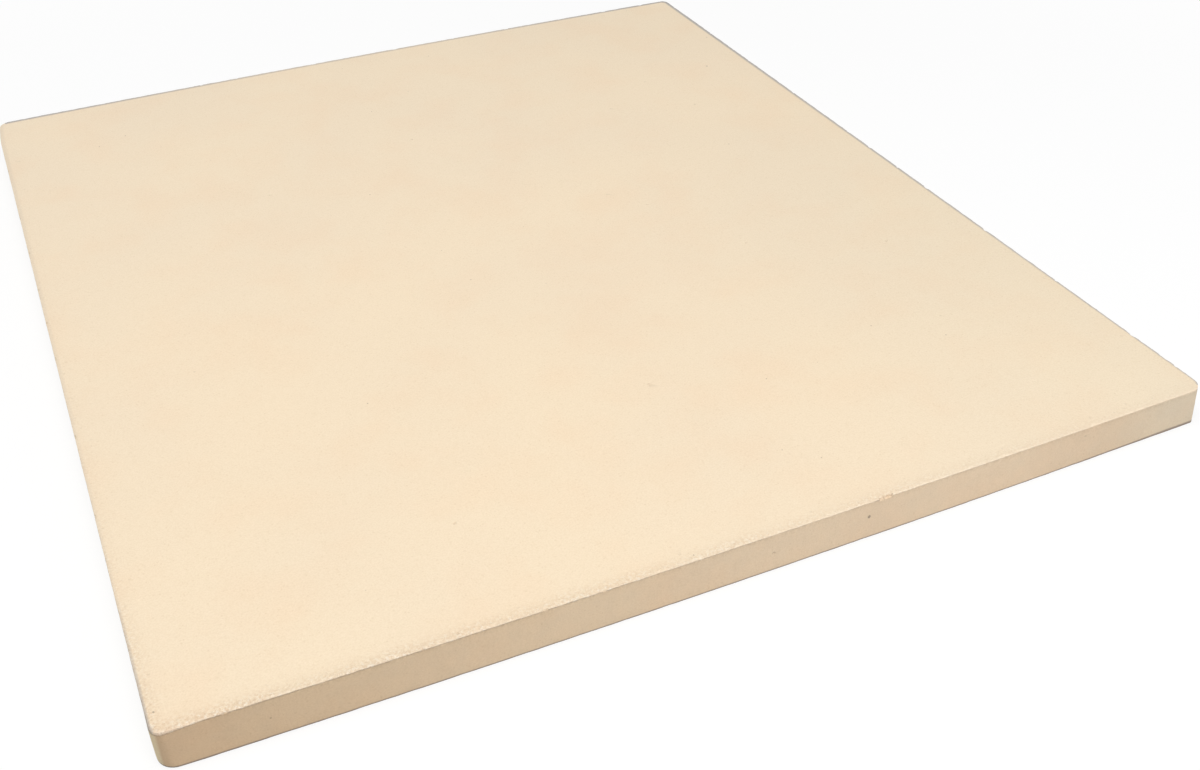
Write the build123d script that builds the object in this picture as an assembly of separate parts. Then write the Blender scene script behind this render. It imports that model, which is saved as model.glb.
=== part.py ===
from build123d import *
import os

# A flat oven stone for baking: one slab of pressed and fired cordierite, the same all through.
# All lengths are in millimetres. +X runs along the short sides, +Y along the long sides and away
# from whoever loads the oven, and +Z is up. The origin is the middle of the underside.

# Overall sizes of the slab
slab_width = 355.6  # over the two long sides, which are straight
slab_length = 406.4  # over the crowns of the two short sides
slab_thickness = 15.0

# Shape of the outline
short_side_crown = 2.0  # how far the middle of a short side stands out past its ends
corner_radius = 5.0  # upright corners

# Edges as the press and a quick rub leave them
top_edge_radius = 0.5  # round the baking face
foot_edge_radius = 0.6  # round the underside

node_name = "baking_slab"
mm3_per_litre = 1e6


def slab_outline():
    """Outline of the slab: straight long sides, slightly crowned short sides, rounded corners."""
    side_x = slab_width / 2
    crown_y = slab_length / 2
    corner_y = crown_y - short_side_crown
    front = ThreePointArc((-side_x, -corner_y), (0, -crown_y), (side_x, -corner_y))
    right = Line((side_x, -corner_y), (side_x, corner_y))
    back = ThreePointArc((side_x, corner_y), (0, crown_y), (-side_x, corner_y))
    left = Line((-side_x, corner_y), (-side_x, -corner_y))
    sharp = make_face(front + right + back + left)
    return fillet(sharp.vertices(), corner_radius)


def slab_solid():
    """The outline raised to its thickness, with both rims softened."""
    slab = extrude(slab_outline(), slab_thickness)
    baking_face = slab.faces().sort_by(Axis.Z)[-1]
    slab = fillet(baking_face.edges(), top_edge_radius)
    underside = slab.faces().sort_by(Axis.Z)[0]
    return fillet(underside.edges(), foot_edge_radius)


os.makedirs("parts", exist_ok=True)
slab = slab_solid()
slab.label = node_name
export_step(slab, "parts/" + node_name + ".step")

extent = slab.bounding_box().size
print("slab size in mm:", round(extent.X, 2), round(extent.Y, 2), round(extent.Z, 2))
print("slab volume in litres:", round(slab.volume / mm3_per_litre, 4))
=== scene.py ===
import math
import random

import bmesh
import bpy
from mathutils import Euler, Matrix, Vector, kdtree, noise


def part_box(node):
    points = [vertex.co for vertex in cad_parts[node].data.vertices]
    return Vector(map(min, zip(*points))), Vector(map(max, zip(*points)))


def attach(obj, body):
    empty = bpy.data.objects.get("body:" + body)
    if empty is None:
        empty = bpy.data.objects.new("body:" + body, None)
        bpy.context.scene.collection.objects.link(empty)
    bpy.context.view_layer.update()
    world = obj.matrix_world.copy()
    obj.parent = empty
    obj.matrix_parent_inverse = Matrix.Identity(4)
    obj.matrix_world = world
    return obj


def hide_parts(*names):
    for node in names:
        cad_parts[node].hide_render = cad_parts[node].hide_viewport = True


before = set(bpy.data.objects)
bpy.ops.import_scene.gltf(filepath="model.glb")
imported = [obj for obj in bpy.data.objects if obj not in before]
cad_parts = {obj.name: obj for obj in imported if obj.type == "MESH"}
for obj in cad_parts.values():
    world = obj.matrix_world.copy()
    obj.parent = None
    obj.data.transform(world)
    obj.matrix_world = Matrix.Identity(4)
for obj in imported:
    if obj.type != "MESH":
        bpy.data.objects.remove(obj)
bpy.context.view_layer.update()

mm = 0.001
random.seed(41)

# The baking stone: one pressed and fired slab. All lengths in mm
slab = dict(
    node="baking_slab",
    piece="baking_stone",
    slot="fired_ceramic",

    # the blank
    crown=2.0,  # the short sides stand out this far at their middle
    cornerRadius=5.0,
    cornerSteps=10,
    alongStep=0.95,  # spacing of points round the outline
    topRound=0.28,  # broken edge round the baking face
    footRound=0.26,
    roundSteps=3,
    sideRows=13,
    topRings=(0.35, 0.45, 0.55, 0.65, 0.75, 0.85, 0.85),  # widths of the rings inside the top edge
    footRings=(0.4, 0.7, 1.1, 1.4),
    topGrid=4.5,
    underGrid=8.0,

    # unevenness of the surface: size of the pattern, seed, octaves, then middle and swing of its value
    arrisPattern=(2.4, 1.7, 4, 0.40, 0.9),
    footPattern=(5.0, 5.3, 4, 0.40, 0.8),
    crumbPattern=(1.9, 8.1, 3, 0.35, 1.0),
    facePattern=(70.0, 2.4, 3, 0.50, 0.5),
    underPattern=(45.0, 7.9, 3, 0.40, 0.6),
    sidePattern=(14.0, 4.4, 3, 0.50, 0.5),
    chipPattern=(1.0, 12.3, 3, 1.00, 0.2),
    arrisRound=(0.28, 0.95),  # least and most rounding of the worn top edge
    footWorn=(0.26, 0.48),
    leastArrisWear=0.25,  # share of the rounding and of the crumbling that the least worn edge has
    leastCrumbling=0.3,
    crumbReach=5.0,  # how far in from the top edge the face crumbles
    crumbFade=1.6,  # a higher number keeps the crumbling closer to the edge
    crumbDepth=0.16,
    crumbOnSide=0.6,  # share of that depth on the side below the edge
    crumbFaceDepth=0.5,  # points less deep than this crumble downwards
    faceDepth=0.07,  # slow rise and fall of the baking face
    underDepth=0.16,
    underFlat=12.0,  # the underside lies flat this far in from its edge
    sideDepth=0.08,

    # how worn the top edge is: share of the half width from and to, and the wear at those two places
    frontWear=(-0.35, 1.0, 1.0, 0.35),
    otherWear=0.22,
    wearBand=6.0,  # the front edge's wear is full this far in
    wearReach=45.0,  # and fades over about this length along the long sides
    # widths of the coloured bands along the edges; the band at the foot is painted shade
    rimReach=5.4,
    arrisReach=0.55,
    footShadeReach=1.1,
    sideReach=1.2,
    frontShare=1.2,  # over 1, the front side keeps a little more than half of its corners

    # a painted dark grey line on the other top edges, painted shade of their rounded edge, written in the
    # same way
    edgeShadeLeft=(-1.0, -0.7, 0.85, 0.15),
    edgeShadeLeftEnd=(-0.985, -0.97, 0.3, 1.0),  # the line fades out again at the corner
    edgeShadeRight=(-1.0, 1.0, 0.80, 1.0),
    edgeShadeBack=(0.2, 0.9, 0.62, 1.0),  # the same towards both ends
    edgeShadeReach=(-1.0, 1.0, 0.9, 2.4),  # its width, from the front to the back

    # each upright corner: radius at the top and at the foot, how far both are rubbed round,
    # and how far the long side bends in before the corner
    frontLeft=dict(top=3.4, foot=5.4, topRub=1.1, footRub=0.6, drawnIn=0.0),
    frontRight=dict(top=5.2, foot=2.2, topRub=0.55, footRub=0.35, drawnIn=0.0),
    backLeft=dict(top=4.6, foot=5.2, topRub=0.5, footRub=0.9, drawnIn=2.0),
    backRight=dict(top=3.2, foot=5.4, topRub=0.5, footRub=0.9, drawnIn=0.0),
    cornerFade=9.0,  # how far along the sides a change of radius runs out
    rubReach=13.0,  # how far from a corner the rubbing reaches
    rubFade=0.7,
    drawnInReach=30.0,

    # chips along the top edge of the front side: place from the middle, length, bite
    frontChips=(
        (-158.3, 2.2, 0.62),
        (-131.0, 1.3, 0.48),
        (-103.5, 1.5, 0.50),
        (-67.4, 2.6, 0.62),
        (-48.7, 2.0, 0.62),
        (-14.0, 1.2, 0.48),
        (21.5, 1.4, 0.50),
        (45.9, 2.2, 0.90),
        (48.2, 3.6, 0.95),
        (86.0, 1.5, 0.52),
        (121.0, 1.2, 0.48),
    ),
    # and scattered over the rest
    chipGap=34.0,  # mean distance between chips along the other top edges
    footChipGap=60.0,
    chipSpacing=(0.45, 1.55),  # least and most distance, as shares of the mean
    chipLength=(1.0, 3.2),
    chipBite=(0.40, 0.70),
    chipHollow=(1.3, 0.8),  # radius of a chip's hollow for each mm of bite, and its least radius
    chipReach=0.62,  # half length of the hollow for each mm of chip
    rimPits=110,  # small pits beside the top edge
    rimPitBand=(0.8, 5.5),
    rimPitRadius=(0.25, 0.5),
    rimPitDark=0.12,
    pinhole=(41.9, 9.0, 0.55),  # in the front side: x, height, radius
    specks=((-175.4, -193.4, 0.28), (173.3, 144.4, 0.4), (155.3, 111.4, 0.45)),  # in the face: x, y, radius
    speckDark=0.7,
    topPores=16,
    sidePores=16,
    underPores=34,
    poreMargin=8.0,  # scattered pores stay this far in from the edges
    poreHeights=(0.2, 0.8),  # and within these shares of a side's height
    poreRadius=(0.3, 0.6),
    poreStretch=(0.85, 1.3),
    poreDepth=(0.55, 0.8),  # share of the radius
    darkDeeper=0.6,  # how much deeper a wholly dark pore is
    poreDark=0.2,
    fineEdge=0.28,  # mesh size in a chip or pore
    edgesAcross=3.5,  # and at least this many edges across its smallest radius
    refineRounds=6,
    smoothing=(2, 0.35),  # rounds and strength, after the chips and pores are pressed in
)

slabLow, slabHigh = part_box(slab["node"])
halfWidth = (slabHigh.x - slabLow.x) / 2
halfLength = (slabHigh.y - slabLow.y) / 2
thickness = slabHigh.z - slabLow.z
endY = halfLength - slab["crown"] * mm  # the ends of the short sides
flat = 1e-5  # points nearer to a face than this lie in it


def crownAt(x):
    return slab["crown"] * mm * (1 - (x / halfWidth) ** 2)


def facesAt(bm, height, normalZ):
    return [f for f in bm.faces
            if abs(f.normal.z - normalZ) < 0.01 and abs(f.calc_center_median().z - height) < flat / 10]


# a flat face with the slab's outline, at the height of the baking face
def startOutline(bm):
    radius = slab["cornerRadius"] * mm
    bmesh.ops.create_grid(bm, x_segments=1, y_segments=1, size=0.5)
    bmesh.ops.scale(bm, vec=(2 * halfWidth, 2 * endY, 1), verts=bm.verts)
    bmesh.ops.translate(bm, vec=(0, 0, thickness), verts=bm.verts)
    bmesh.ops.bevel(bm, geom=list(bm.verts), offset=radius, offset_type="OFFSET",
                    affect="VERTICES", segments=slab["cornerSteps"], profile=0.5, material=-1)
    for edge in [e for e in bm.edges if e.calc_length() > halfWidth]:
        cuts = round(edge.calc_length() / (slab["alongStep"] * mm)) - 1
        bmesh.ops.subdivide_edges(bm, edges=[edge], cuts=cuts)
    for v in bm.verts:
        if abs(v.co.y) > endY - radius * 1.01:
            v.co.y += math.copysign(crownAt(v.co.x), v.co.y)


# outline to solid, with both rims rounded and the sides in rows
def raiseSlab(bm):
    bm.faces.ensure_lookup_table()
    grown = bmesh.ops.extrude_face_region(bm, geom=[bm.faces[0]], use_keep_orig=True)
    down = [v for v in grown["geom"] if isinstance(v, bmesh.types.BMVert)]
    bmesh.ops.translate(bm, vec=(0, 0, -thickness), verts=down)
    bmesh.ops.recalc_face_normals(bm, faces=bm.faces)
    for z, radius in ((thickness, slab["topRound"]), (0, slab["footRound"])):
        rim = [e for e in bm.edges if all(abs(v.co.z - z) < flat / 10 for v in e.verts)]
        bmesh.ops.bevel(bm, geom=rim, offset=radius * mm, offset_type="OFFSET", affect="EDGES",
                        segments=slab["roundSteps"], profile=0.5, material=-1, clamp_overlap=True)
    upright = [e for e in bm.edges if abs(e.verts[0].co.z - e.verts[1].co.z) > thickness / 2]
    bmesh.ops.subdivide_edges(bm, edges=upright, cuts=slab["sideRows"] - 1, use_grid_fill=True)


# rings inside the edge of a flat face; gives back the face that is left in the middle
def ringFace(bm, height, normalZ, rings):
    middle = facesAt(bm, height, normalZ)
    for width in rings:
        bmesh.ops.inset_region(bm, faces=middle, thickness=width * mm, use_even_offset=True)
    return middle


# cuts that middle into a grid
def gridFace(bm, middle, step):
    geom = middle + [e for f in middle for e in f.edges] + [v for f in middle for v in f.verts]
    xs = [v.co.x for f in middle for v in f.verts]
    ys = [v.co.y for f in middle for v in f.verts]
    for low, high, normal in ((min(xs), max(xs), (1, 0, 0)), (min(ys), max(ys), (0, 1, 0))):
        count = round((high - low) / (step * mm))
        for i in range(1, count):
            place = low + (high - low) * i / count
            cut = bmesh.ops.bisect_plane(bm, geom=geom, dist=1e-7, plane_co=[place * n for n in normal],
                                         plane_no=normal)
            geom = cut["geom"]


# value of one of the slab's patterns of unevenness at a point
def uneven(co, pattern):
    size, seed, octaves, middle, swing = slab[pattern]
    shift = Vector((seed, seed * 0.7, seed * 3.1))
    return middle + swing * noise.fractal(co / (size * mm) + shift, 0.9, 2.0, octaves)


def ramp(value, start, end, atStart, atEnd):
    share = min(1.0, max(0.0, (value - start) / (end - start)))
    return atStart + (atEnd - atStart) * share


# how far a point lies in from the long side and from the short side
def edgeGaps(co):
    return halfWidth - abs(co.x), endY + crownAt(co.x) - abs(co.y)


def edgeDistance(co):
    fromSide, fromEnd = edgeGaps(co)
    radius = slab["cornerRadius"] * mm
    if fromSide < radius and fromEnd < radius:
        return radius - math.hypot(radius - fromSide, radius - fromEnd)
    return min(fromSide, fromEnd)


# the level direction straight in from the nearest side, or from a rounded corner
def inwardAt(co):
    fromSide, fromEnd = edgeGaps(co)
    radius = slab["cornerRadius"] * mm
    if fromSide < radius and fromEnd < radius:
        way = Vector((radius - fromSide, radius - fromEnd, 0))
    elif fromSide < fromEnd:
        way = Vector((1, 0, 0))
    else:
        way = Vector((0, 1, 0))
    way = Vector((-math.copysign(way.x, co.x), -math.copysign(way.y, co.y), 0))
    return way.normalized()


def cornerAt(co):
    return slab[("front" if co.y < 0 else "back") + ("Left" if co.x < 0 else "Right")]


# 1 at a corner, 0 a little way from it
def cornerShare(co):
    away = math.hypot(halfWidth - abs(co.x), endY - abs(co.y))
    return max(0.0, 1 - away / (slab["rubReach"] * mm)) ** slab["rubFade"]


# how crumbled the top edge is here: most at the front left corner, where the slab is taken hold of
def wearShare(co):
    alongFront = ramp(co.x / halfWidth, *slab["frontWear"])
    behind = max(0.0, (halfLength + co.y) / mm - slab["wearBand"])
    return slab["otherWear"] + (alongFront - slab["otherWear"]) * math.exp(-behind / slab["wearReach"])


# how strong the painted shade line along the other top edges is, by place
def edgeShadeShare(co):
    toRight, toBack = co.x / halfWidth, co.y / halfLength
    if abs(toRight) <= toBack:
        return ramp(abs(toRight), *slab["edgeShadeBack"])
    if toRight > 0:
        return ramp(toBack, *slab["edgeShadeRight"])
    return ramp(toBack, *slab["edgeShadeLeft"]) * ramp(toBack, *slab["edgeShadeLeftEnd"])


# how far in and how far up or down a point beside an edge goes when the edge is rounded
def roundOff(inside, depth, radius):
    if inside >= radius or depth >= radius:
        return 0.0, 0.0
    away = math.hypot(radius - inside, radius - depth)
    if away <= radius:
        return 0.0, 0.0
    left = 1 - radius / away
    return (radius - inside) * left, (radius - depth) * left


# the small unevenness of a pressed and fired surface; points only move inward
def roughen(bm):
    for v in bm.verts:
        co = v.co.copy()
        inside, below = edgeDistance(co), thickness - co.z
        inward = inwardAt(co)
        worn = wearShare(co)
        corner, cornerHere = cornerAt(co), cornerShare(co)
        # the top edge and the foot, both rubbed rounder at the corners
        least = slab["leastArrisWear"]
        radius = ramp(uneven(co, "arrisPattern") * (least + (1 - least) * worn), 0, 1, *slab["arrisRound"])
        radius += (corner["topRub"] - radius) * cornerHere
        inTop, down = roundOff(inside, below, radius * mm)
        radius = ramp(uneven(co, "footPattern"), 0, 1, *slab["footWorn"])
        radius += (corner["footRub"] - radius) * cornerHere
        inFoot, up = roundOff(inside, co.z, radius * mm)
        v.co += inward * (inTop + inFoot) + Vector((0, 0, up - down))
        # crumbling on both sides of the top edge
        fromEdge = max(inside, below) / mm
        if fromEdge < slab["crumbReach"]:
            bite = max(0.0, uneven(co, "crumbPattern")) * slab["crumbDepth"] * mm
            least = slab["leastCrumbling"]
            bite *= (1 - fromEdge / slab["crumbReach"]) ** slab["crumbFade"] * (least + (1 - least) * worn)
            if below > slab["crumbFaceDepth"] * mm:
                v.co += inward * bite * slab["crumbOnSide"]
            else:
                v.co += Vector((0, 0, -bite))
        # slow waves in the faces and the sides
        if below < flat:
            v.co.z -= slab["faceDepth"] * mm * ramp(uneven(co, "facePattern"), 0, 1, 0, 1)
        elif co.z < flat:
            wave = max(0.0, uneven(co, "underPattern")) * min(1.0, inside / (slab["underFlat"] * mm))
            v.co.z += slab["underDepth"] * mm * min(1.0, wave)
        elif inside < flat:
            v.co += inward * slab["sideDepth"] * mm * ramp(uneven(co, "sidePattern"), 0, 1, 0, 1)


# gives each corner its own radius, which changes from top to foot and runs out along the sides
def shapeCorners(bm):
    base, fade = slab["cornerRadius"] * mm, slab["cornerFade"] * mm
    for v in bm.verts:
        fromSide, fromEnd = (max(0.0, gap) for gap in edgeGaps(v.co))
        if min(fromSide, fromEnd) > base or max(fromSide, fromEnd) > base + fade:
            continue
        corner = cornerAt(v.co)
        change = base - (corner["foot"] + (corner["top"] - corner["foot"]) * v.co.z / thickness) * mm
        acrossX, acrossY = base - fromSide, base - fromEnd
        if acrossX > 0 and acrossY > 0:
            away = math.hypot(acrossX, acrossY)
            share = (away / base) ** 2
            step = Vector((1 - acrossX / away, 1 - acrossY / away)) * change * share
        elif acrossX > 0:
            step = Vector((0, change * (acrossX / base) ** 2 * max(0.0, 1 + acrossY / fade)))
        else:
            step = Vector((change * (acrossY / base) ** 2 * max(0.0, 1 + acrossX / fade), 0))
        v.co.x += step.x * math.copysign(1, v.co.x)
        v.co.y += step.y * math.copysign(1, v.co.y)


# bends a long side in where it comes up to a corner
def drawInCorners(bm):
    reach = slab["drawnInReach"] * mm
    for v in bm.verts:
        fromEnd, fromSide = halfLength - abs(v.co.y), halfWidth - abs(v.co.x)
        drawn = cornerAt(v.co)["drawnIn"]
        if drawn and fromEnd < reach and fromSide < reach / 2:
            share = (1 - fromEnd / reach) ** 2 * (1 - max(0.0, fromSide) / (reach / 2))
            v.co.x -= math.copysign(drawn * mm * share, v.co.x)


# how near an edge comes to a point
def edgeReach(edge, point):
    first, second = (v.co for v in edge.verts)
    along = second - first
    share = min(1.0, max(0.0, (point - first).dot(along) / along.length_squared))
    return (first + along * share - point).length


# divides the edges near the dents until they are short enough, finest close by
def refineAround(bm, dents):
    tree = kdtree.KDTree(len(dents))
    for i, dent in enumerate(dents):
        tree.insert(dent["centre"], i)
    tree.balance()
    widest = max(dent["reach"] for dent in dents)
    for _ in range(slab["refineRounds"]):
        chosen = []
        for edge in bm.edges:
            length = edge.calc_length()
            middle = (edge.verts[0].co + edge.verts[1].co) / 2
            for _, i, _ in tree.find_range(middle, (widest + length) * 1.1):
                dent = dents[i]
                if length > dent["edge"] and edgeReach(edge, dent["centre"]) < dent["reach"] + length * 0.55:
                    chosen.append(edge)
                    break
        if not chosen:
            break
        bmesh.ops.subdivide_edges(bm, edges=chosen, cuts=1, use_grid_fill=True)


# presses each dent's ellipsoid into the surface, as a chip or a pore leaves it
def pressDents(bm, dents, layers):
    verts = list(bm.verts)
    tree = kdtree.KDTree(len(verts))
    for i, v in enumerate(verts):
        tree.insert(v.co, i)
    tree.balance()
    for dent in dents:
        centre, radii, layer = dent["centre"], dent["radii"], layers[dent["kind"]]
        rotation = Matrix.Rotation(dent["turn"], 3, "Z")
        back = rotation.transposed()
        for _, i, _ in tree.find_range(centre, dent["reach"] * 1.2):
            v = verts[i]
            local = back @ (v.co - centre)
            unit = Vector((local.x / radii[0], local.y / radii[1], local.z / radii[2]))
            size = unit.length * uneven(v.co, "chipPattern")
            if 1e-6 < size < 1:
                v.co = centre + rotation @ (local / size)
                v[layer] = max(v[layer], dent["mark"])
    pressed = [v for v in verts if v[layers["chip"]] > 0 or v[layers["pit"]] > 0]
    rounds, strength = slab["smoothing"]
    for _ in range(rounds):
        bmesh.ops.smooth_vert(bm, verts=pressed, factor=strength,
                              use_axis_x=True, use_axis_y=True, use_axis_z=True)


# a dent from its ellipsoid, with the mesh size that it needs
def dentAt(centre, radii, turn, kind, mark):
    radii = [r * mm for r in radii]
    edge = max(slab["fineEdge"] * mm, min(radii) / slab["edgesAcross"])
    return dict(centre=centre, radii=radii, reach=max(radii), turn=turn, kind=kind, mark=mark, edge=edge)


# a chip off an edge: the ellipsoid's middle stands just outside the edge, above or below it
def edgeChip(place, along, out, up, length, bite):
    perBite, least = slab["chipHollow"]
    radius = max(perBite * bite, least)
    centre = place + Vector((out.x, out.y, up)).normalized() * (radius - bite) * mm
    radii = (max(length * slab["chipReach"], radius), radius, radius)
    return dentAt(centre, radii, math.atan2(along.y, along.x), "chip", 1.0)


# a pore in a face; the last value is how dark it is painted, partly dirt and partly painted shade in its
# hollow
def pore(place, out, radius, dark):
    depth = radius * random.uniform(*slab["poreDepth"]) * (1 + slab["darkDeeper"] * dark)
    level = abs(out.z) > 0.5
    turn = random.uniform(0, math.pi) if level else math.atan2(out.y, out.x) + math.pi / 2
    radii = (radius * random.uniform(*slab["poreStretch"]), radius, radius)
    return dentAt(place + out * (radius - depth) * mm, radii, turn, "pit", dark)


# a point on the outline, the way along it and the way out of it, for a distance round it
def outlinePlace(distance):
    width, length = 2 * halfWidth, 2 * endY
    distance = distance % (2 * (width + length))
    if distance < width:
        x = -halfWidth + distance
        return Vector((x, -endY - crownAt(x), 0)), Vector((1, 0, 0)), Vector((0, -1, 0))
    distance -= width
    if distance < length:
        return Vector((halfWidth, -endY + distance, 0)), Vector((0, 1, 0)), Vector((1, 0, 0))
    distance -= length
    if distance < width:
        x = halfWidth - distance
        return Vector((x, endY + crownAt(x), 0)), Vector((-1, 0, 0)), Vector((0, 1, 0))
    distance -= width
    return Vector((-halfWidth, endY - distance, 0)), Vector((0, -1, 0)), Vector((-1, 0, 0))


# whether a place on the outline is well away from the corners
def clearOfCorners(place, along):
    gap = halfWidth - abs(place.x) if abs(along.x) else endY - abs(place.y)
    return gap > 2 * slab["cornerRadius"] * mm


def frontAt(x, z):
    return Vector((x * mm, -endY - crownAt(x * mm), z))


# chips on the edges and pores in the faces
def addWear(bm, layers):
    around = 4 * (halfWidth + endY)
    toFront, upward = Vector((0, -1, 0)), Vector((0, 0, 1))
    dents = []
    for x, length, bite in slab["frontChips"]:
        dents.append(edgeChip(frontAt(x, thickness), Vector((1, 0, 0)), toFront, 1, length, bite))
    # the other three sides, along the top and along the foot
    for z, up, gap in ((thickness, 1, slab["chipGap"]), (0, -1, slab["footChipGap"])):
        distance = 2 * halfWidth + gap * mm * 0.4
        while distance < around:
            place, along, out = outlinePlace(distance)
            place.z = z
            if clearOfCorners(place, along):
                length, bite = random.uniform(*slab["chipLength"]), random.uniform(*slab["chipBite"])
                dents.append(edgeChip(place, along, out, up, length, bite))
            distance += gap * mm * random.uniform(*slab["chipSpacing"])
    # pores that the photograph shows
    x, z, radius = slab["pinhole"]
    dents.append(pore(frontAt(x, z * mm), toFront, radius, 1.0))
    for x, y, radius in slab["specks"]:
        dents.append(pore(Vector((x * mm, y * mm, thickness)), upward, radius, slab["speckDark"]))
    # and scattered ones
    margin = slab["poreMargin"] * mm
    for count, z, out in ((slab["topPores"], thickness, upward), (slab["underPores"], 0, -upward)):
        for _ in range(count):
            x = random.uniform(-1, 1) * (halfWidth - margin)
            y = random.uniform(-1, 1) * (endY - margin)
            dents.append(pore(Vector((x, y, z)), out, random.uniform(*slab["poreRadius"]), slab["poreDark"]))
    for _ in range(slab["rimPits"]):
        place, along, out = outlinePlace(random.uniform(0, around))
        if clearOfCorners(place, along):
            place -= out * random.uniform(*slab["rimPitBand"]) * mm
            place.z = thickness
            dents.append(pore(place, upward, random.uniform(*slab["rimPitRadius"]), slab["rimPitDark"]))
    for _ in range(slab["sidePores"]):
        place, along, out = outlinePlace(random.uniform(0, around))
        if clearOfCorners(place, along):
            place.z = random.uniform(*slab["poreHeights"]) * thickness
            dents.append(pore(place, out, random.uniform(*slab["poreRadius"]), slab["poreDark"]))
    refineAround(bm, dents)
    pressDents(bm, dents, layers)
    print("chips and pores:", len(dents))


# keeps on each point how near it is to an edge, for the colours
def markSurface(bm, layers):
    for v in bm.verts:
        inside = max(0.0, edgeDistance(v.co)) / mm
        fromFront = v.co.y + endY + crownAt(v.co.x)
        onFront = fromFront < slab["frontShare"] * (halfWidth - abs(v.co.x))
        v[layers["rim"]] = max(0.0, 1 - inside / slab["rimReach"]) * wearShare(v.co)
        v[layers["arris"]] = math.exp(-inside / slab["arrisReach"]) if onFront else 0.0
        # the painted shade line along the top edges other than the front
        reach = ramp(v.co.y / halfLength, *slab["edgeShadeReach"])
        nearEdge = ramp(inside, reach / 2, reach, 1, 0)
        v[layers["edgeShade"]] = 0.0 if onFront else edgeShadeShare(v.co) * nearEdge
        # where the painted shade line at the foot may go
        v[layers["foot"]] = max(0.0, 1 - inside / slab["footShadeReach"])
        v[layers["side"]] = max(0.0, 1 - inside / slab["sideReach"])
        v[layers["rubbed"]] = cornerAt(v.co)["topRub"] * cornerShare(v.co)


def clampInside(bm):
    for v in bm.verts:
        for i in range(3):
            v.co[i] = min(slabHigh[i], max(slabLow[i], v.co[i]))


def buildStone():
    bm = bmesh.new()
    startOutline(bm)
    raiseSlab(bm)
    topMiddle = ringFace(bm, thickness, 1, slab["topRings"])
    underMiddle = ringFace(bm, 0, -1, slab["footRings"])
    gridFace(bm, topMiddle, slab["topGrid"])
    gridFace(bm, underMiddle, slab["underGrid"])
    print("slab blank:", len(bm.verts), "points")
    layers = {}
    for name in ("rim", "arris", "edgeShade", "foot", "side", "rubbed", "chip", "pit"):
        layers[name] = bm.verts.layers.float.new(name)
    markSurface(bm, layers)
    roughen(bm)
    shapeCorners(bm)
    drawInCorners(bm)
    print("slab uneven, corners shaped")
    addWear(bm, layers)
    clampInside(bm)
    bmesh.ops.remove_doubles(bm, verts=bm.verts, dist=1e-6)
    bmesh.ops.triangulate(bm, faces=[f for f in bm.faces if len(f.verts) > 4])
    bmesh.ops.recalc_face_normals(bm, faces=bm.faces)
    for f in bm.faces:
        f.smooth = True
    mesh = bpy.data.meshes.new(slab["piece"])
    bm.to_mesh(mesh)
    bm.free()
    made = bpy.data.objects.new(slab["piece"], mesh)
    bpy.context.scene.collection.objects.link(made)
    mesh.materials.append(firedCeramic())
    triangles = sum(len(p.vertices) - 2 for p in mesh.polygons)
    print("slab finished:", len(mesh.vertices), "points,", triangles, "triangles")
    return made


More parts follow.
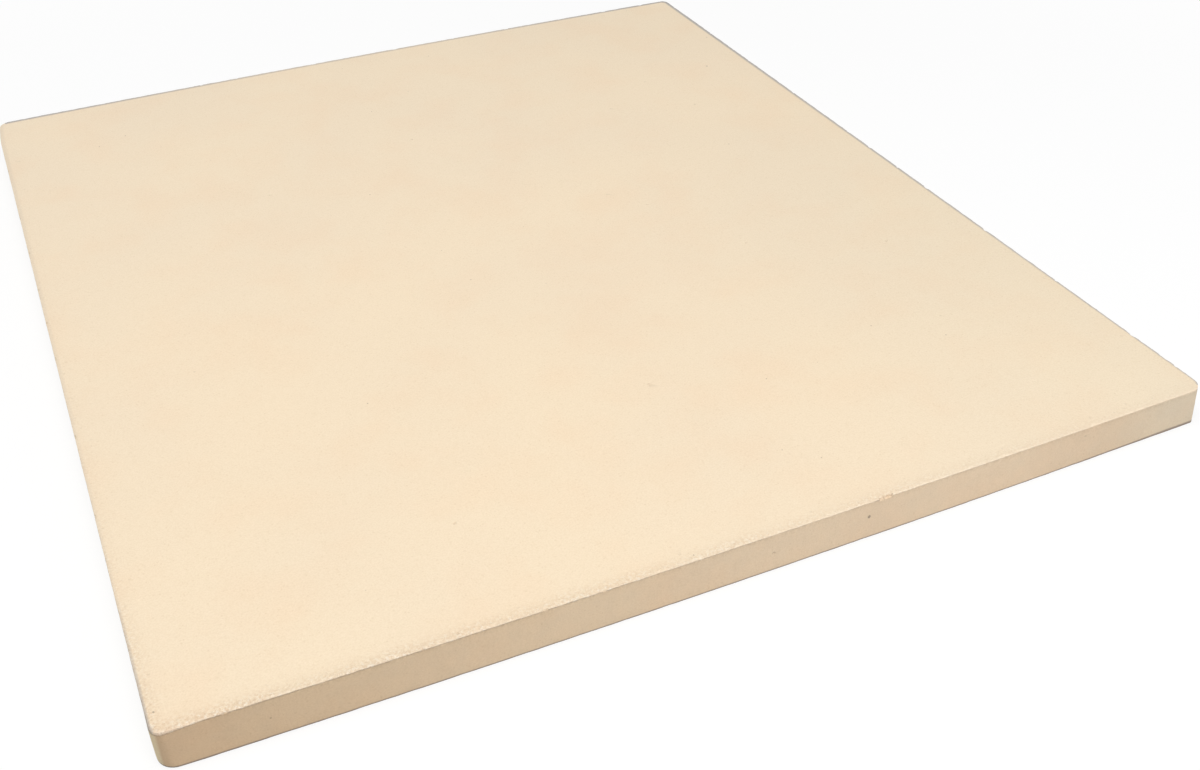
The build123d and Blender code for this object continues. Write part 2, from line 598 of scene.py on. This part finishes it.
# The fired ceramic: linear colours, and sizes in mm
ceramic = dict(
    faceColour=(0.915, 0.762, 0.562),
    # the sides' colour: partly their own darker, browner tone, partly painted shade of sides that face away
    # from the overhead light
    sideToneAndShade=(0.882, 0.695, 0.495),
    roughness=(0.84, 0.95),
    # colour patterns: size, detail, roughness of the noise, noise value from and to, share, tint
    drift=(85, 2, 0.5, 0.35, 0.65, 0.55, (0.965, 0.975, 1.0)),
    blush=(24, 3, 0.5, 0.45, 0.70, 0.70, (1.0, 0.965, 0.945)),
    sand=(0.55, 3, 0.6, 0.35, 0.68, 0.80, (0.925, 0.905, 0.87)),
    mottle=(7, 3, 0.5, 0.40, 0.62, 0.80, (0.965, 0.975, 0.985)),  # on the sides only
    rimPatches=(14, 2, 0.5, 0.30, 0.60),
    rimWear=(1.0, 3, 0.6, 0.40, 0.60),
    crumbs=(0.8, 2, 0.5, 0.54, 0.64),
    # heights of the colour bands: depths below the face, then heights above the foot
    faceBand=(0.75, 0.30),
    sideBand=(0.25, 0.55),
    underEdgeBand=(2.6, 0.5),
    footShadeBand=(0.9, 0.45),
    rubbedLift=0.7,  # a rubbed corner has the face's colour this much further down
    # the painted shade line at the foot, by x: from, to, and what its height is divided by at those two
    # places
    footShadeThinner=(-165, -120, 1, 1.22),
    footShadeTaller=(110, 165, 1, 0.5),
    # the face is greyer towards the back, and at the front right
    backTint=(1.01, 1.025, 1.05),
    backTintAlong=(-110, 200),  # from y, to y
    frontRightTint=(0.965, 0.985, 1.0),
    frontRightAcross=(40, 178),
    frontRightAlong=(90, -60),
    # painted shade and highlight along the sides: painted shade darkens them towards the left end, a painted
    # highlight makes them paler and bluer where they face left, and towards the right end they turn darker,
    # then paler and bluer; from x, to x, tint
    sideShadeAndHighlightTints=(
        (10, -190, (0.97, 0.945, 0.88)),
        (-90, -175, (0.905, 0.868, 0.845)),
        (-174.0, -175.4, (0.96, 0.96, 0.95)),
        (-176.1, -176.9, (1.27, 1.45, 1.52)),
        (100, 135, (0.93, 0.93, 0.93)),
        (140, 162, (0.985, 1.04, 1.085)),
    ),
    streakTint=(0.945, 0.935, 0.92),
    streakScale=(1.1, 1.1, 0.16),  # drawn out in height
    streakSpread=(0.42, 0.68),
    grainSize=0.9,
    grainEdge=(0.5, 0.2),  # where a grain starts to show and where it is full, as shares of its size
    grainChosen=(0.86, 0.9),  # only the grains above this random tone show
    darkGrain=(0.86, 0.82, 0.76),
    paleGrain=(1.04, 1.05, 1.08),
    rimTint=(0.89, 0.825, 0.775),
    rimLeast=0.45,  # least strength of the discoloured rim
    mostWornTint=(0.93, 0.90, 0.88),
    mostWornAcross=(-60, -150),
    underEdgeTint=(0.90, 0.885, 0.865),
    crumbColour=(0.96, 0.86, 0.71),
    arrisColour=(0.93, 0.78, 0.62),
    rubbedColour=(0.90, 0.66, 0.49),
    rubbedAcross=(100, 0),
    arrisRightColour=(0.84, 0.675, 0.495),
    arrisRightAcross=(95, 150),
    # painted shade of the rounded far top edges, as a dark grey line
    edgeShadeColour=(0.39, 0.37, 0.36),
    # painted shade where the foot meets the floor
    footShadeColour=(0.29, 0.23, 0.19),
    # chips darkened a little: painted shade in their hollows
    chipShadeTint=(0.90, 0.86, 0.82),
    # dirt and painted shade in the hollows of pores
    pitDirtAndShadeColour=(0.30, 0.24, 0.18),
    ironColour=(0.30, 0.20, 0.12),
    ironGap=17,  # mean distance between iron specks
    ironEdge=(0.022, 0.012),  # the same for a speck, as shares of that distance
    # how far each colour covers what lies under it
    cover=dict(streaks=0.25, grain=0.35, crumbs=0.8, arris=0.4, rubbed=0.35, arrisRight=0.4, edgeShade=0.9,
               foot=0.9, chip=0.3, pit=0.85, iron=0.55),
    # bumps: size, detail, roughness of the noise, depth, strength
    swell=(9, 2, 0.5, 0.10, 0.8),
    grain=(0.5, 3, 0.65, 0.06, 1.0),
    rimGrain=(0.9, 3, 0.65, 0.60, 1.0),
    poreBump=(1.7, 0.10, 0.24, 0.05, 0.8),  # size, share from and to, depth, strength
    streakBump=(0.04, 1.0),
)


def node(tree, kind, label, **sockets):
    made = tree.nodes.new(kind)
    made.label = label
    for name, value in sockets.items():
        made.inputs[name.replace("_", " ")].default_value = value
    return made


# porous unglazed ceramic, written in millimetres of the object's own space
def firedCeramic():
    top = thickness / mm
    material = bpy.data.materials.new("firedCeramic")
    material.use_nodes = True
    tree = material.node_tree
    tree.nodes.clear()
    link = tree.links.new
    output = node(tree, "ShaderNodeOutputMaterial", "out")
    shader = node(tree, "ShaderNodeBsdfPrincipled", "ceramic", IOR=1.45)
    link(shader.outputs["BSDF"], output.inputs["Surface"])
    coords = node(tree, "ShaderNodeTexCoord", "object")
    scale = node(tree, "ShaderNodeMapping", "to mm", Scale=(1000, 1000, 1000))
    link(coords.outputs["Object"], scale.inputs["Vector"])
    inMm = scale.outputs["Vector"]

    def cloud(label, size, detail, rough=0.5):
        made = node(tree, "ShaderNodeTexNoise", label, Scale=1 / size, Detail=detail, Roughness=rough)
        link(inMm, made.inputs["Vector"])
        return made.outputs["Fac"]

    def cells(label, size):
        made = node(tree, "ShaderNodeTexVoronoi", label, Scale=1 / size, Randomness=1.0)
        link(inMm, made.inputs["Vector"])
        return made

    def spread(value, low, high, toLow=0.0, toHigh=1.0):
        made = node(tree, "ShaderNodeMapRange", "spread")
        for name, number in (("From Min", low), ("From Max", high), ("To Min", toLow), ("To Max", toHigh)):
            made.inputs[name].default_value = number
        link(value, made.inputs["Value"])
        return made.outputs["Result"]

    def blend(fac, a, b, mode="MIX"):
        made = tree.nodes.new("ShaderNodeMix")
        made.data_type = "RGBA"
        made.blend_type = mode
        for value, socket in ((fac, made.inputs[0]), (a, made.inputs[6]), (b, made.inputs[7])):
            if isinstance(value, bpy.types.NodeSocket):
                link(value, socket)
            else:
                socket.default_value = value if isinstance(value, float) else (*value, 1)
        return made.outputs[2]

    # a colour, tinted as far as the share says
    def tint(share, colour, by):
        return blend(share, colour, blend(1.0, colour, by, "MULTIPLY"))

    def times(a, b, more=None):
        made = tree.nodes.new("ShaderNodeMath")
        made.operation = "MULTIPLY"
        for value, socket in ((a, made.inputs[0]), (b, made.inputs[1])):
            if isinstance(value, bpy.types.NodeSocket):
                link(value, socket)
            else:
                socket.default_value = value
        return times(made.outputs[0], more) if more is not None else made.outputs[0]

    def painted(name):
        made = node(tree, "ShaderNodeAttribute", name)
        made.attribute_name = name
        return made.outputs["Fac"]

    def pattern(name):
        size, detail, rough, low, high = ceramic[name][:5]
        return spread(cloud(name, size, detail, rough), low, high)

    place = node(tree, "ShaderNodeSeparateXYZ", "place")
    link(inMm, place.inputs[0])
    toRight, toBack, height = place.outputs["X"], place.outputs["Y"], place.outputs["Z"]
    # at a corner that is rubbed round, the colour of the face reaches further down
    rubbed = painted("rubbed")
    lifted = node(tree, "ShaderNodeMath", "lifted at rubbed corners")
    lifted.operation = "MULTIPLY_ADD"
    link(rubbed, lifted.inputs[0])
    lifted.inputs[1].default_value = ceramic["rubbedLift"]
    link(height, lifted.inputs[2])
    onTop = spread(lifted.outputs[0], *(top - depth for depth in ceramic["faceBand"]))
    side = times(painted("side"), spread(lifted.outputs[0], *(top - depth for depth in ceramic["sideBand"])))
    rim, arris, edgeShade = (times(painted(name), onTop) for name in ("rim", "arris", "edgeShade"))
    # the painted shade line at the foot is thinner along the middle and tallest at the right end
    thinner, taller = (spread(toRight, *ceramic[name]) for name in ("footShadeThinner", "footShadeTaller"))
    footShadeHeight = times(height, thinner, taller)
    foot = times(painted("foot"), spread(footShadeHeight, *ceramic["footShadeBand"]))

    cover = ceramic["cover"]
    face = tint(spread(toBack, *ceramic["backTintAlong"]), ceramic["faceColour"], ceramic["backTint"])
    frontRight = spread(toBack, *ceramic["frontRightAlong"])
    frontRight = times(spread(toRight, *ceramic["frontRightAcross"]), frontRight)
    face = tint(frontRight, face, ceramic["frontRightTint"])
    # the sides take their own colour, which is partly painted shade
    colour = blend(side, face, ceramic["sideToneAndShade"])
    for name in ("drift", "blush"):
        colour = tint(times(pattern(name), ceramic[name][5]), colour, ceramic[name][6])
    # painted shade and highlight along the sides
    for low, high, by in ceramic["sideShadeAndHighlightTints"]:
        colour = tint(times(side, spread(toRight, low, high)), colour, by)
    # fine sandy grain, drawn out a little down the sides where the slab left the press
    sand = pattern("sand")
    colour = tint(times(sand, ceramic["sand"][5]), colour, ceramic["sand"][6])
    pressed = node(tree, "ShaderNodeMapping", "down the sides", Scale=ceramic["streakScale"])
    link(inMm, pressed.inputs["Vector"])
    streaks = node(tree, "ShaderNodeTexNoise", "streaks", Scale=1.0, Detail=3, Roughness=0.6)
    link(pressed.outputs["Vector"], streaks.inputs["Vector"])
    streaked = times(side, spread(streaks.outputs["Fac"], *ceramic["streakSpread"]), cover["streaks"])
    colour = tint(streaked, colour, ceramic["streakTint"])
    colour = tint(times(side, pattern("mottle"), ceramic["mottle"][5]), colour, ceramic["mottle"][6])
    # single grains of grog
    grains = cells("grog", ceramic["grainSize"])
    grainTone = node(tree, "ShaderNodeSeparateColor", "one grain")
    link(grains.outputs["Color"], grainTone.inputs["Color"])
    inGrain = spread(grains.outputs["Distance"], *ceramic["grainEdge"])
    for tone, name in ((0, "darkGrain"), (1, "paleGrain")):
        chosen = spread(grainTone.outputs[tone], *ceramic["grainChosen"])
        colour = tint(times(chosen, inGrain, cover["grain"]), colour, ceramic[name])
    # crumbled rim: pinker, with paler crumbs, most at the left
    rimPatch = times(rim, spread(pattern("rimPatches"), 0, 1, ceramic["rimLeast"], 1))
    wornSpots = pattern("rimWear")
    colour = tint(times(rimPatch, wornSpots), colour, ceramic["rimTint"])
    mostWorn = spread(toRight, *ceramic["mostWornAcross"])
    colour = tint(times(rimPatch, wornSpots, mostWorn), colour, ceramic["mostWornTint"])
    colour = blend(times(rimPatch, pattern("crumbs"), cover["crumbs"]), colour, ceramic["crumbColour"])
    underEdge = times(side, spread(height, *(top - depth for depth in ceramic["underEdgeBand"])))
    colour = tint(times(underEdge, wornSpots), colour, ceramic["underEdgeTint"])
    # the rubbed line on the edge itself, pinker at the left corner and browner towards the right
    colour = blend(times(arris, cover["arris"]), colour, ceramic["arrisColour"])
    rubbedLeft = times(rubbed, spread(toRight, *ceramic["rubbedAcross"]), cover["rubbed"])
    colour = blend(times(arris, rubbedLeft), colour, ceramic["rubbedColour"])
    atRight = times(arris, spread(toRight, *ceramic["arrisRightAcross"]), cover["arrisRight"])
    colour = blend(atRight, colour, ceramic["arrisRightColour"])
    # painted shade: a dark grey line along the other top edges and a dark line where the foot meets the
    # floor; then chips and pores, darkened by painted shade in their hollows, the pores by dirt as well
    colour = blend(times(edgeShade, cover["edgeShade"]), colour, ceramic["edgeShadeColour"])
    colour = blend(times(foot, cover["foot"]), colour, ceramic["footShadeColour"])
    colour = tint(times(painted("chip"), cover["chip"]), colour, ceramic["chipShadeTint"])
    colour = blend(times(painted("pit"), cover["pit"]), colour, ceramic["pitDirtAndShadeColour"])
    iron = cells("iron specks", ceramic["ironGap"]).outputs["Distance"]
    colour = blend(spread(iron, *ceramic["ironEdge"], 0, cover["iron"]), colour, ceramic["ironColour"])
    link(colour, shader.inputs["Base Color"])
    link(spread(sand, 0, 1, *ceramic["roughness"]), shader.inputs["Roughness"])

    # bump: slow swell, sandy grain, small pores that open up towards the rim; depths in mm
    def bump(value, depth, strength, under=None):
        made = node(tree, "ShaderNodeBump", "bump", Strength=strength, Distance=depth * mm)
        link(value, made.inputs["Height"])
        if under:
            link(under, made.inputs["Normal"])
        return made.outputs["Normal"]

    normal = bump(cloud("swell", *ceramic["swell"][:3]), *ceramic["swell"][3:])
    normal = bump(cloud("grain", *ceramic["grain"][:3]), *ceramic["grain"][3:], normal)
    size, low, high, depth, strength = ceramic["poreBump"]
    normal = bump(spread(cells("pores", size).outputs["Distance"], low, high), depth, strength, normal)
    rimNoise = cloud("rim grain", *ceramic["rimGrain"][:3])
    normal = bump(times(rim, rimNoise), *ceramic["rimGrain"][3:], normal)
    normal = bump(times(side, streaks.outputs["Fac"]), *ceramic["streakBump"], normal)
    link(normal, shader.inputs["Normal"])
    print("ceramic ready:", len(tree.nodes), "nodes")
    return material


# Floor and light, in metres and watts
studio = dict(
    floorSize=30.0,
    floorBounce=0.50,  # grey of the floor as the slab's sides see it
    floorGlow=0.78,  # share of the floor that is plain white to the camera, close to the slab
    glowFrom=0.25,  # distance from the middle where that share starts to grow
    glowTo=0.65,  # from here on the floor is plain white
    worldLight=0.36,
    lamps=(
        dict(name="overhead softbox", size=1.2, place=(-0.25, -0.30, 1.35), aim=(0, 0, 0), power=15.2),
        dict(name="low softbox", size=0.3, place=(0.21, -0.64, 0.14), aim=(0.05, -0.2, 0.01), power=0.8),
    ),
)


# 1 where the camera, a reflection or a see-through ray looks, 0 where light is gathered
def seenByEye(tree):
    path = tree.nodes.new("ShaderNodeLightPath")
    first = tree.nodes.new("ShaderNodeMath")
    second = tree.nodes.new("ShaderNodeMath")
    first.operation = second.operation = "MAXIMUM"
    tree.links.new(path.outputs["Is Camera Ray"], first.inputs[0])
    tree.links.new(path.outputs["Is Glossy Ray"], first.inputs[1])
    tree.links.new(first.outputs[0], second.inputs[0])
    tree.links.new(path.outputs["Is Transmission Ray"], second.inputs[1])
    return second.outputs[0]


def paleFloor():
    material = bpy.data.materials.new("paleFloor")
    material.use_nodes = True
    tree = material.node_tree
    tree.nodes.clear()
    output = node(tree, "ShaderNodeOutputMaterial", "out")
    choose = node(tree, "ShaderNodeMixShader", "eye or light")
    seen = node(tree, "ShaderNodeMixShader", "white with the shadow")
    coords = node(tree, "ShaderNodeTexCoord", "floor place")
    away = node(tree, "ShaderNodeVectorMath", "distance from the middle")
    away.operation = "LENGTH"
    share = node(tree, "ShaderNodeMapRange", "more white further off")
    share.interpolation_type = "SMOOTHSTEP"
    for name, number in (("From Min", studio["glowFrom"]), ("From Max", studio["glowTo"]),
                         ("To Min", studio["floorGlow"]), ("To Max", 1.0)):
        share.inputs[name].default_value = number
    tree.links.new(coords.outputs["Object"], away.inputs[0])
    tree.links.new(away.outputs["Value"], share.inputs["Value"])
    tree.links.new(share.outputs["Result"], seen.inputs[0])
    white = node(tree, "ShaderNodeBsdfDiffuse", "white", Color=(1, 1, 1, 1))
    glow = node(tree, "ShaderNodeEmission", "glow", Color=(1, 1, 1, 1), Strength=1.0)
    grey = node(tree, "ShaderNodeBsdfDiffuse", "bounce", Color=(*[studio["floorBounce"]] * 3, 1))
    tree.links.new(white.outputs[0], seen.inputs[1])
    tree.links.new(glow.outputs[0], seen.inputs[2])
    tree.links.new(grey.outputs[0], choose.inputs[1])
    tree.links.new(seen.outputs[0], choose.inputs[2])
    tree.links.new(seenByEye(tree), choose.inputs[0])
    tree.links.new(choose.outputs[0], output.inputs["Surface"])
    return material


def buildFloor():
    bm = bmesh.new()
    bmesh.ops.create_grid(bm, x_segments=1, y_segments=1, size=studio["floorSize"] / 2)
    mesh = bpy.data.meshes.new("floor")
    bm.to_mesh(mesh)
    bm.free()
    floor = bpy.data.objects.new("floor", mesh)
    bpy.context.scene.collection.objects.link(floor)
    mesh.materials.append(paleFloor())
    print("floor laid")


def turnTo(made, aim):
    way = Vector(aim) - made.location
    made.rotation_euler = way.to_track_quat("-Z", "Y").to_euler()


def buildLight():
    world = bpy.data.worlds.new("studio")
    bpy.context.scene.world = world
    world.use_nodes = True
    tree = world.node_tree
    tree.nodes.clear()
    output = node(tree, "ShaderNodeOutputWorld", "out")
    choose = node(tree, "ShaderNodeMixShader", "eye or light")
    fill = node(tree, "ShaderNodeBackground", "fill", Color=(1, 1, 1, 1), Strength=studio["worldLight"])
    white = node(tree, "ShaderNodeBackground", "white", Color=(1, 1, 1, 1), Strength=1.0)
    tree.links.new(fill.outputs[0], choose.inputs[1])
    tree.links.new(white.outputs[0], choose.inputs[2])
    tree.links.new(seenByEye(tree), choose.inputs[0])
    tree.links.new(choose.outputs[0], output.inputs["Surface"])
    for lamp in studio["lamps"]:
        data = bpy.data.lights.new(lamp["name"], "AREA")
        data.energy = lamp["power"]
        data.shape = "SQUARE"
        data.size = lamp["size"]
        made = bpy.data.objects.new(lamp["name"], data)
        made.location = lamp["place"]
        turnTo(made, lamp["aim"])
        made.visible_camera = False
        bpy.context.scene.collection.objects.link(made)
    print("lamps hung:", len(studio["lamps"]))


# The photograph's viewpoint, near the slab's front left corner: metres, degrees, mm of lens
camera = dict(
    place=(-0.1690, -0.4625, 0.2972),
    turn=(53.837, 1.012, -24.075),
    lens=41.514,
    sensor=36.0,
    shiftX=0.0219,
)


def buildCamera():
    data = bpy.data.cameras.new("camera")
    data.sensor_width = camera["sensor"]
    data.lens = camera["lens"]
    data.shift_x = camera["shiftX"]
    data.clip_start = 0.01
    made = bpy.data.objects.new("camera", data)
    made.location = camera["place"]
    made.rotation_euler = Euler([math.radians(a) for a in camera["turn"]])
    bpy.context.scene.collection.objects.link(made)
    bpy.context.scene.camera = made
    print("camera set")


buildCamera()
stone = buildStone()
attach(stone, "root")
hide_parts(slab["node"])
buildFloor()
buildLight()
bpy.context.scene.view_settings.view_transform = "Standard"
